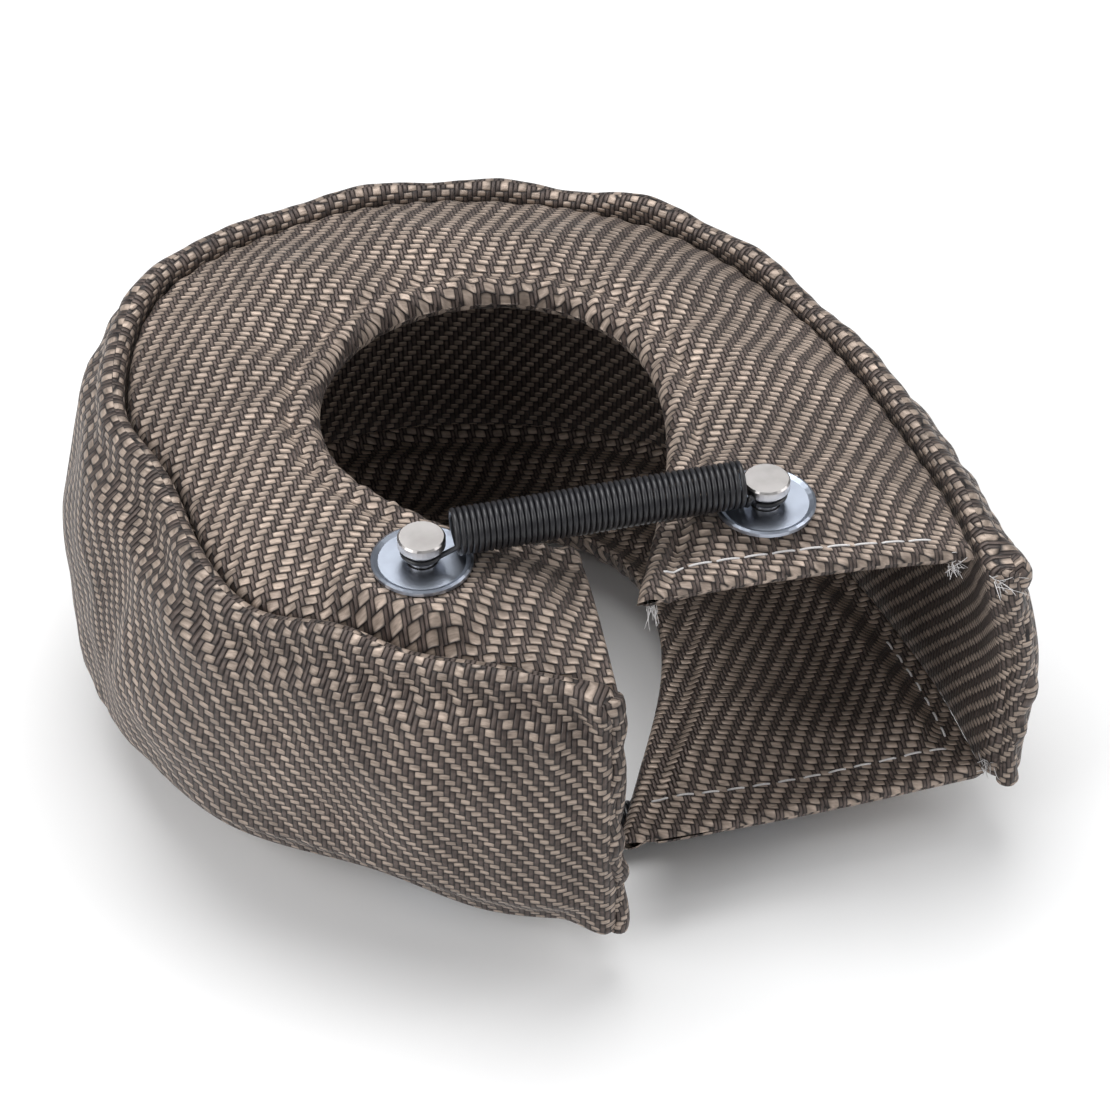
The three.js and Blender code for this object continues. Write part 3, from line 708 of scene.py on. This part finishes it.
def wire_material():
    g = Graph("black_wire")
    coords = g.node("ShaderNodeTexCoord").outputs["Object"]
    fine = g.noise(coords, 1400.0, 3.0)
    g.link(g.blend(fine, rgb(0.006, 0.006, 0.008), rgb(0.018, 0.018, 0.022)), g.shader.inputs["Base Color"])
    g.link(g.remap(fine, 0.3, 0.7, 0.3, 0.46), g.shader.inputs["Roughness"])
    g.shader.inputs["Specular IOR Level"].default_value = 0.6
    g.link(g.bump(fine, 0.02 * MM, 0.6), g.shader.inputs["Normal"])
    return g.material


def thread_material():
    g = Graph("white_thread")
    coords = g.node("ShaderNodeTexCoord").outputs["Object"]
    fine = g.noise(coords, 3000.0, 2.0)
    g.link(g.blend(fine, rgb(0.55, 0.53, 0.52), rgb(0.88, 0.86, 0.86)), g.shader.inputs["Base Color"])
    g.shader.inputs["Roughness"].default_value = 0.6
    g.link(g.bump(fine, 0.04 * MM), g.shader.inputs["Normal"])
    return g.material


def set_material(piece, material):
    piece.data.materials.clear()
    piece.data.materials.append(material)


# Springs: the same wire route as the frame's, in a finer section
SPRING_RADIUS = 4.8
WIRE_DIAMETER = 1.1
COIL_PITCH = 1.17
HOOK_REACH_LEFT = 6.3
HOOK_REACH_RIGHT = 4.6
SPRING_LIFT = 0.4
POST_NECK_RADIUS = 2.8
POST_NECK_LENGTH = 3.6
SEAT_GAP = 0.3
WASHER_THICKNESS = 1.1
COIL_STEPS = 26
WIRE_SIDES = 10
LEAD_POINTS = 10

# Bevel of the hardware's edges
EDGE_BEVEL = 0.16


def tube(name, points, radius, sides, weave=False):
    """A round closed tube along a list of points, in millimetres."""
    points = np.array(points, float)
    tangent = np.gradient(points, axis=0)
    tangent /= np.linalg.norm(tangent, axis=1)[:, None]
    normal = np.zeros_like(points)
    first = np.cross(tangent[0], [0.0, 0.0, 1.0])
    if np.linalg.norm(first) < 0.1:
        first = np.cross(tangent[0], [0.0, 1.0, 0.0])
    normal[0] = first / np.linalg.norm(first)
    for i in range(1, len(points)):
        moved = normal[i - 1] - tangent[i] * np.dot(normal[i - 1], tangent[i])
        normal[i] = moved / np.linalg.norm(moved)
    other = np.cross(tangent, normal)
    angle = np.linspace(0, 2 * math.pi, sides, endpoint=False)
    ring = normal[:, None, :] * np.cos(angle)[None, :, None]
    ring = ring + other[:, None, :] * np.sin(angle)[None, :, None]
    radius = np.broadcast_to(np.asarray(radius, float), (len(points),))
    place = points[:, None, :] + ring * radius[:, None, None]
    vertices = (place.reshape(-1, 3) + ORIGIN) * MM
    i, j = np.meshgrid(np.arange(len(points) - 1), np.arange(sides), indexing="ij")
    k = (j + 1) % sides
    here, beyond = i * sides, (i + 1) * sides
    faces = np.stack([here + j, here + k, beyond + k, beyond + j], axis=-1).reshape(-1, 4).tolist()
    last = (len(points) - 1) * sides
    faces.append(list(range(sides))[::-1])
    faces.append([last + j for j in range(sides)])
    mesh = bpy.data.meshes.new(name)
    mesh.from_pydata(vertices.tolist(), [], faces)
    mesh.polygons.foreach_set("use_smooth", [True] * len(mesh.polygons))
    if weave:
        along = np.repeat(run_length(points[:, [0, 2]]), sides)
        around = np.tile(np.abs(np.linspace(-1, 1, sides)) * math.pi * radius.mean(), len(points))
        corner = np.concatenate([np.array(face) for face in faces])
        layer = mesh.uv_layers.new(name="weave")
        layer.data.foreach_set("uv", np.stack([around, along], axis=1)[corner].ravel())
    mesh.update()
    piece = bpy.data.objects.new(name, mesh)
    scene.collection.objects.link(piece)
    return piece


def join(name, pieces):
    """One object from several."""
    bm = bmesh.new()
    for piece in pieces:
        bm.from_mesh(piece.data)
        bpy.data.objects.remove(piece)
    mesh = bpy.data.meshes.new(name)
    bm.to_mesh(mesh)
    bm.free()
    whole = bpy.data.objects.new(name, mesh)
    scene.collection.objects.link(whole)
    return whole


# Rolled hems at the band's ends: radius, how deep they are let in, and their wander
ROLL_RADIUS = 2.25
ROLL_INSET = 0.9
ROLL_WANDER = 0.5
ROLL_SIDE_WANDER = 0.3
ROLL_UNEVENNESS = 0.28
ROLL_SIDES = 20
ROLL_TIP = 0.03

# Threads: steps along a stitch, how deep its ends dive, and the taper of loose fibres
THREAD_STEPS = 7
STITCH_SIDES = 6
STITCH_DIVE = 0.12
FIBRE_SIDES = 4
FIBRE_THICK, FIBRE_THIN = 0.11, 0.05


def end_rolls(name, outside, inside, at_start, material):
    """The two rolled hems that close the band's end, with a groove between."""
    end, before = (0, 10) if at_start else (-1, -11)
    rolls = []
    for part, share, seed in (("outer", 0.76, 61), ("inner", 0.24, 62)):
        beyond = mix(inside[end], outside[end], share)
        way = beyond - mix(inside[before], outside[before], share)
        way /= np.linalg.norm(way, axis=1)[:, None]
        path = beyond - way * ROLL_INSET
        down = np.linspace(0, 1, len(path))
        level = path[:, 2]
        still = 0 * level
        path = path + way * (ROLL_WANDER * ripple(level, still, 17, seed))[:, None]
        path[:, 0] += ROLL_SIDE_WANDER * ripple(level, still, 12, seed + 4)
        radius = ROLL_RADIUS + ROLL_UNEVENNESS * ripple(level, still, 11, seed + 9)
        radius *= np.sqrt(np.clip(np.minimum(down, 1 - down) / ROLL_TIP, 0.05, 1))
        keep = slice(2, -2)
        rolls.append(tube(f"{name}_{part}", path[keep], radius[keep], ROLL_SIDES, weave=True))
    roll = join(name, rolls)
    set_material(roll, material)
    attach(roll, "root")


def stitch_line(name, path, normal, stitch, gap, radius, material, lift=0.25):
    """Thread stitches that dive in and out of a face along a path."""
    steps = np.linalg.norm(np.diff(path, axis=0), axis=1)
    run = np.concatenate([[0.0], np.cumsum(steps)])
    count = int(run[-1] // (stitch + gap))
    pieces = []
    for i in range(count):
        at = i * (stitch + gap) + gap / 2 + np.linspace(0, stitch, THREAD_STEPS)
        points = np.stack([np.interp(at, run, path[:, k]) for k in range(3)], axis=1)
        rise = lift * np.sin(np.linspace(0, math.pi, THREAD_STEPS)) ** 0.5 - STITCH_DIVE
        points = points + np.array(normal)[None, :] * rise[:, None]
        pieces.append(tube(f"{name}_{i}", points, radius, STITCH_SIDES))
    line = join(name, pieces)
    set_material(line, material)
    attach(line, "root")


def tuft(name, place, aim, count, length, seed, material):
    """Loose fibres that fray out of a cut edge."""
    rng = np.random.default_rng(seed)
    hairs = []
    for i in range(count):
        start = np.array(place) + rng.normal(0, 0.7, 3)
        way = np.array(aim) + rng.normal(0, 0.55, 3)
        way /= np.linalg.norm(way)
        bend = rng.normal(0, 0.5, 3)
        run = np.linspace(0, 1, THREAD_STEPS)[:, None] * length * rng.uniform(0.4, 1.0)
        points = start + way * run + bend * (run / length) ** 2 * length * 0.35
        taper = np.linspace(FIBRE_THICK, FIBRE_THIN, THREAD_STEPS)
        hairs.append(tube(f"{name}_{i}", points, taper, FIBRE_SIDES))
    whole = join(name, hairs)
    set_material(whole, material)
    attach(whole, "root")


def spring_route(left, right, up):
    """The wire's route: a hook round one post, the coil, and a hook round the other."""
    washer_top = [post[2] + up * (SEAT_GAP + WASHER_THICKNESS) for post in (left, right)]
    start = np.array([left[0], left[1], washer_top[0] + up * (SPRING_RADIUS + SPRING_LIFT)])
    stop = np.array([right[0], right[1], washer_top[1] + up * (SPRING_RADIUS + SPRING_LIFT)])
    span = np.linalg.norm(stop - start)
    axis = (stop - start) / span
    level = np.array([axis[0], axis[1], 0.0])
    level /= np.linalg.norm(level)
    side = np.array([-level[1], level[0], 0.0])
    upright = np.cross(axis, side)
    coil_radius = SPRING_RADIUS - WIRE_DIAMETER / 2
    loop_radius = POST_NECK_RADIUS + WIRE_DIAMETER / 2 + SPRING_LIFT
    coil_length = span - HOOK_REACH_LEFT - HOOK_REACH_RIGHT
    turns = round(coil_length / COIL_PITCH)

    def loop(post, z, degrees):
        angle = math.radians(degrees)
        centre = np.array([post[0], post[1], z + up * POST_NECK_LENGTH / 2])
        return centre + loop_radius * (level * math.cos(angle) + side * math.sin(angle))

    points = [loop(left, washer_top[0], degrees) for degrees in range(20, 321, 10)]
    steps = turns * COIL_STEPS
    coil = []
    for i in range(steps + 1):
        angle = 2 * math.pi * i / COIL_STEPS - math.pi / 2
        point = start + axis * (HOOK_REACH_LEFT + coil_length * i / steps)
        point = point + side * coil_radius * math.sin(angle) + upright * coil_radius * math.cos(angle)
        coil.append(point)
    tail = [loop(right, washer_top[1], degrees) for degrees in range(220, 501, 10)]
    lead = curve([points[-2], points[-1], coil[0], coil[1]], np.linspace(1 / 3, 2 / 3, LEAD_POINTS)[1:-1])
    trail = curve([coil[-2], coil[-1], tail[0], tail[1]], np.linspace(1 / 3, 2 / 3, LEAD_POINTS)[1:-1])
    return np.array(points + list(lead) + coil + list(trail) + tail)


def add_springs(material):
    pairs = [("top", TOP_POSTS, 1), ("bottom", BOTTOM_POSTS, -1)]
    for name, posts, up in pairs:
        left, right = posts[f"{name}_left"], posts[f"{name}_right"]
        wire = tube(f"{name}_spring_wire", spring_route(left, right, up), WIRE_DIAMETER / 2, WIRE_SIDES)
        set_material(wire, material)
        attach(wire, "root")
        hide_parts(f"{name}_spring")


def dress_hardware(steel, zinc):
    for side in ("top_left", "top_right", "bottom_left", "bottom_right"):
        for part, material in (("post", steel), ("washer", zinc), ("backing_plate", zinc)):
            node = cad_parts[f"{side}_{part}"]
            set_material_on_object(node, material)
            bevel = node.modifiers.new("edge", "BEVEL")
            bevel.width = EDGE_BEVEL * MM
            bevel.segments = 2
            bevel.limit_method = "ANGLE"
            bevel.angle_limit = math.radians(40)


def set_material_on_object(node, material):
    if not node.material_slots:
        node.data.materials.append(material)
    for material_slot in node.material_slots:
        material_slot.material = material


def add_lights():
    target = Vector(ORIGIN + np.array([5.0, 0.0, 40.0])) * MM

    def softbox(name, direction, distance, size, watts):
        data = bpy.data.lights.new(name, "AREA")
        data.shape = "RECTANGLE"
        data.size, data.size_y = size
        data.energy = watts
        light = bpy.data.objects.new(name, data)
        offset = Vector(direction).normalized() * distance
        light.location = target + offset
        light.rotation_euler = (-offset).to_track_quat("-Z", "Y").to_euler()
        scene.collection.objects.link(light)

    softbox("top_box", (0.0, 0.35, 1.0), 0.9, (0.8, 0.6), 7.0)
    softbox("left_box", (-1.0, -0.35, 0.7), 0.9, (0.6, 0.6), 4.2)
    softbox("right_box", (1.0, -0.35, 0.7), 0.9, (0.5, 0.6), 2.6)
    softbox("front_box", (0.1, -1.0, 0.75), 1.0, (0.5, 0.4), 0.6)


def add_floor():
    mesh = bpy.data.meshes.new("floor")
    reach = 3.0
    corners = [(-reach, -reach, 0), (reach, -reach, 0), (reach, reach, 0), (-reach, reach, 0)]
    mesh.from_pydata(corners, [], [(0, 1, 2, 3)])
    floor = bpy.data.objects.new("floor", mesh)
    scene.collection.objects.link(floor)
    g = Graph("floor_white")
    g.shader.inputs["Base Color"].default_value = rgb(0.97, 0.97, 0.97)
    g.shader.inputs["Roughness"].default_value = 0.9
    g.shader.inputs["Specular IOR Level"].default_value = 0.0
    set_material(floor, g.material)


def add_world():
    world = bpy.data.worlds.new("studio")
    world.use_nodes = True
    tree = world.node_tree
    tree.nodes.clear()
    output = tree.nodes.new("ShaderNodeOutputWorld")
    fill = tree.nodes.new("ShaderNodeBackground")
    fill.inputs[0].default_value = rgb(0.95, 0.97, 1.0)
    fill.inputs[1].default_value = 0.22
    seen = tree.nodes.new("ShaderNodeBackground")
    seen.inputs[0].default_value = rgb(1.0, 1.0, 1.0)
    seen.inputs[1].default_value = 1.0
    path = tree.nodes.new("ShaderNodeLightPath")
    either = tree.nodes.new("ShaderNodeMixShader")
    tree.links.new(path.outputs["Is Camera Ray"], either.inputs[0])
    tree.links.new(fill.outputs[0], either.inputs[1])
    tree.links.new(seen.outputs[0], either.inputs[2])
    tree.links.new(either.outputs[0], output.inputs[0])
    scene.world = world


add_camera()
add_world()
add_floor()
add_lights()
scene.view_settings.view_transform = "Standard"

# Outer cloths and their linings, the linings darker copies that paint the shade inside the blanket:
# pitches, lean, length of the light floats, the painted shade over the whole, and the painted darkening of
# the upright yarns
panel_cloth = twill_material("panel_twill", 1.0, 1.43, 0.33, 2.35, 1.06, 0.82)
band_cloth = twill_material("band_twill", 0.985, 1.32, 0.0, 1.9, 0.98, 0.7)
panel_lining_painted_shade = twill_material("panel_lining_painted_shade", 1.0, 1.43, 0.33, 2.0, 0.5, 0.26, True)
band_lining_painted_shade = twill_material("band_lining_painted_shade", 0.985, 1.32, 0.0, 1.9, 0.5, 0.3, True)

top_pad, top_face, top_back, top_to_end = panel_piece("top_panel_pad", True)
bottom_pad, _, bottom_back, bottom_to_end = panel_piece("bottom_panel_pad", False)
band_pad, band_outside, band_inside = band_piece("side_band_pad")
PADS = [
    (top_pad, "top", panel_cloth, panel_lining_painted_shade),
    (bottom_pad, "bottom", panel_cloth, panel_lining_painted_shade),
    (band_pad, "band", band_cloth, band_lining_painted_shade),
]
# Each pad's inner face takes its lining, a darker copy of its cloth with painted shade
for pad, part, cloth, lining in PADS:
    set_material(pad, cloth)
    pad.data.materials.append(lining)
    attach(pad, "root")
    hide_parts(f"{part}_outer_cloth", f"{part}_insulation", f"{part}_inner_cloth")

end_rolls("left_end_hem", band_outside, band_inside, True, band_cloth)
end_rolls("right_end_hem", band_outside, band_inside, False, band_cloth)

thread = thread_material()
half = len(top_to_end) // 2


def row_from_end(to_end, distance):
    return half + int(np.argmin(np.abs(to_end[half:] - distance)))


FIELD = slice(ROUND_COLUMNS, -ROUND_COLUMNS)
UP = (0.0, 0.0, 1.0)
top_hem = top_face[row_from_end(top_to_end, 5.0)][FIELD]
stitch_line("top_hem_stitches", top_hem, UP, 4.6, 1.0, 0.24, thread)
mouth_hem = bottom_back[row_from_end(bottom_to_end, 7.0)][FIELD]
stitch_line("mouth_hem_stitches", mouth_hem, UP, 3.6, 1.8, 0.24, thread)
seam_rows = slice(row_from_end(bottom_to_end, 42.0), row_from_end(bottom_to_end, 5.0))
inner_seam = bottom_back[seam_rows, -ROUND_COLUMNS - 2]
stitch_line("inner_seam_stitches", inner_seam, UP, 2.6, 2.2, 0.26, thread, 0.5)
corner = top_back[row_from_end(top_to_end, 1.5)]
tuft("arm_corner_tuft", corner[6], (0.0, -0.5, -1.0), 16, 5.0, 71, thread)
tuft("arm_end_tuft", corner[-9], (0.3, -1.0, 0.1), 22, 5.0, 72, thread)
tuft("band_end_tuft", band_inside[-4, 6], (0.2, -1.0, 0.2), 16, 5.5, 73, thread)
tuft("foot_tuft", band_inside[-6, -8], (-0.7, -0.8, 0.3), 18, 4.5, 74, thread)

add_springs(wire_material())
steel = metal_material("nickel", rgb(0.47, 0.45, 0.44), 0.3, 0.06, rgb(0.38, 0.36, 0.35))
zinc = metal_material("zinc", rgb(0.50, 0.55, 0.64), 0.24, 0.12, rgb(0.42, 0.46, 0.54))
dress_hardware(steel, zinc)
